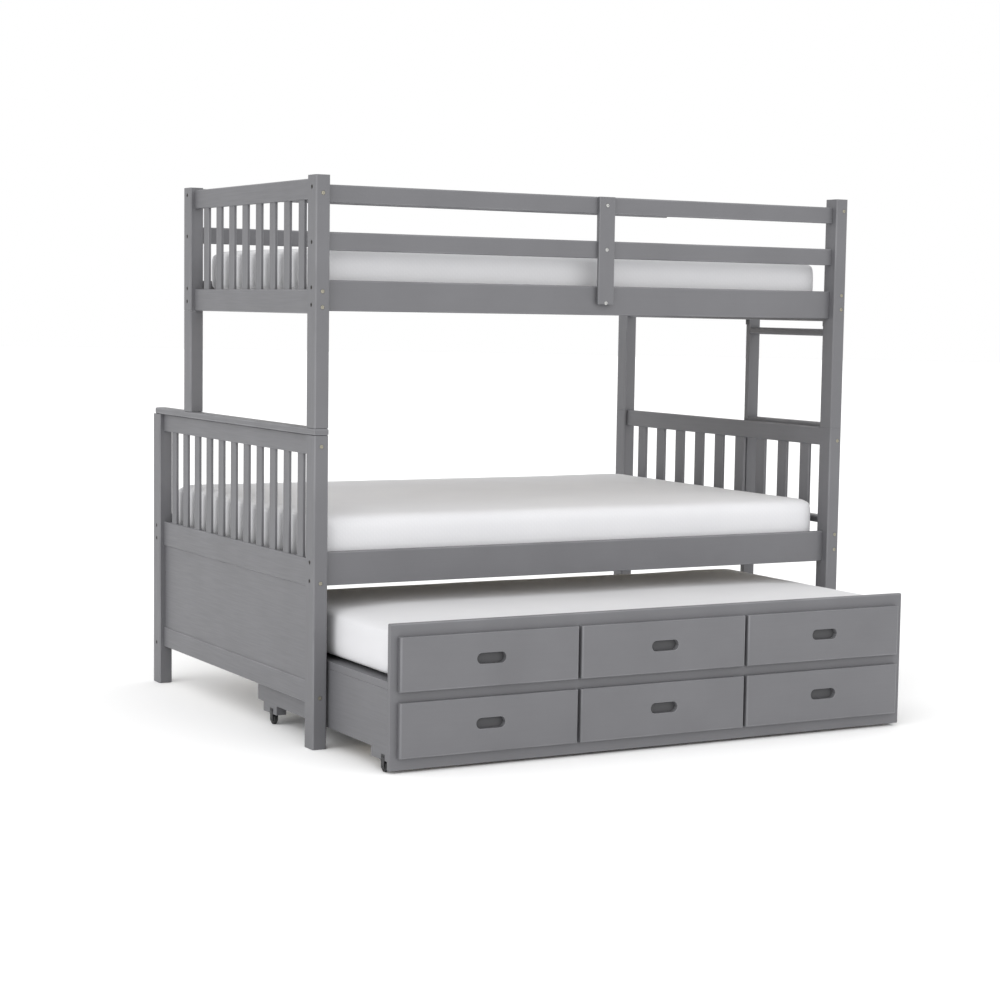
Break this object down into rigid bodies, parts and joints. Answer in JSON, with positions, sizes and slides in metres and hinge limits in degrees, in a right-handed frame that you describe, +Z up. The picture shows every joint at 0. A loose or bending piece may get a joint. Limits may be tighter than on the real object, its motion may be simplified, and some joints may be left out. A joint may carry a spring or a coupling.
{
  "type": "bunk bed",
  "caption": "Wooden bunk bed with a wider lower bed, slatted ends, guard rails, an end ladder, mattresses, and a rolling trundle bed with drawers under it.",
  "frame": {"origin": "the middle of the footprint on the floor, with the trundle as far out as it is at rest", "axes": "+X runs along the bed towards the ladder end, +Y towards the wall behind it, +Z up"},
  "size_m": [2.08, 1.905, 1.79],
  "materials": {
    "painted_wood": "satin grey paint on solid wood",
    "bare_wood": "planed pine, unpainted",
    "mattress_fabric": "plain white woven mattress ticking",
    "caster_wheel": "moulded black plastic"
  },
  "bodies": {
    "bed": {"front_guard_bracket": "painted_wood", "front_guard_mid_rail": "painted_wood", "front_guard_top_rail": "painted_wood", "front_lower_rail": "painted_wood", "front_upper_rail": "painted_wood", "ladder_front_stile": "painted_wood", "ladder_rear_stile": "painted_wood", "ladder_rung_1": "painted_wood", "ladder_rung_2": "painted_wood", "ladder_rung_3": "painted_wood", "ladder_rung_4": "painted_wood", "left_end_cap": "painted_wood", "left_front_lower_post": "painted_wood", "left_front_upper_post": "painted_wood", "left_lower_bottom_rail": "painted_wood", "left_lower_mid_rail": "painted_wood", "left_lower_panel": "painted_wood", "left_lower_slats": "painted_wood", "left_lower_top_rail": "painted_wood", "left_rear_leg": "painted_wood", "left_rear_lower_post": "painted_wood", "left_rear_upper_post": "painted_wood", "left_upper_bottom_rail": "painted_wood", "left_upper_slats": "painted_wood", "left_upper_top_rail": "painted_wood", "lower_mattress": "mattress_fabric", "lower_slat_deck": "bare_wood", "rear_guard_bracket": "painted_wood", "rear_guard_mid_rail": "painted_wood", "rear_guard_top_rail": "painted_wood", "rear_lower_rail": "painted_wood", "rear_upper_rail": "painted_wood", "right_cross_rail": "painted_wood", "right_front_lower_post": "painted_wood", "right_front_upper_post": "painted_wood", "right_lower_mid_rail": "painted_wood", "right_lower_slats": "painted_wood", "right_lower_top_rail": "painted_wood", "right_rear_lower_post": "painted_wood", "right_rear_upper_post": "painted_wood", "upper_mattress": "mattress_fabric", "upper_slat_deck": "bare_wood"},
    "trundle": {"trundle_back": "painted_wood", "trundle_divider_1": "bare_wood", "trundle_divider_2": "bare_wood", "trundle_front_frame": "painted_wood", "trundle_left_false_front": "painted_wood", "trundle_left_side": "painted_wood", "trundle_mattress": "mattress_fabric", "trundle_middle_false_front": "painted_wood", "trundle_platform": "painted_wood", "trundle_right_false_front": "painted_wood", "trundle_right_side": "painted_wood"},
    "left_drawer": {"trundle_left_drawer": "painted_wood"},
    "middle_drawer": {"trundle_middle_drawer": "painted_wood"},
    "right_drawer": {"trundle_right_drawer": "painted_wood"},
    "front_left_wheel": {"front_left_wheel": "caster_wheel"},
    "front_right_wheel": {"front_right_wheel": "caster_wheel"},
    "rear_left_wheel": {"rear_left_wheel": "caster_wheel"},
    "rear_right_wheel": {"rear_right_wheel": "caster_wheel"}
  },
  "joints": [
    {"name": "trundle_slide", "type": "slide", "parent": "bed", "child": "trundle", "axis": [0, -1, 0], "range_m": [-0.48, 0.61]},
    {"name": "left_drawer_slide", "type": "slide", "parent": "trundle", "child": "left_drawer", "axis": [0, -1, 0], "range_m": [0, 0.38]},
    {"name": "middle_drawer_slide", "type": "slide", "parent": "trundle", "child": "middle_drawer", "axis": [0, -1, 0], "range_m": [0, 0.38]},
    {"name": "right_drawer_slide", "type": "slide", "parent": "trundle", "child": "right_drawer", "axis": [0, -1, 0], "range_m": [0, 0.38]},
    {"name": "front_left_wheel_spin", "type": "hinge", "parent": "trundle", "child": "front_left_wheel", "pos_m": [-0.974, -0.8885, 0.0165], "axis": [1, 0, 0], "continuous": true},
    {"name": "front_right_wheel_spin", "type": "hinge", "parent": "trundle", "child": "front_right_wheel", "pos_m": [0.924, -0.8885, 0.0165], "axis": [1, 0, 0], "continuous": true},
    {"name": "rear_left_wheel_spin", "type": "hinge", "parent": "trundle", "child": "rear_left_wheel", "pos_m": [-0.974, -0.0325, 0.0165], "axis": [1, 0, 0], "continuous": true},
    {"name": "rear_right_wheel_spin", "type": "hinge", "parent": "trundle", "child": "rear_right_wheel", "pos_m": [0.924, -0.0325, 0.0165], "axis": [1, 0, 0], "continuous": true}
  ],
  "couplings": [
    {"joint": "front_left_wheel_spin", "follows": "trundle_slide", "rad_per_m": 60.606},
    {"joint": "front_right_wheel_spin", "follows": "trundle_slide", "rad_per_m": 60.606},
    {"joint": "rear_left_wheel_spin", "follows": "trundle_slide", "rad_per_m": 60.606},
    {"joint": "rear_right_wheel_spin", "follows": "trundle_slide", "rad_per_m": 60.606}
  ]
}
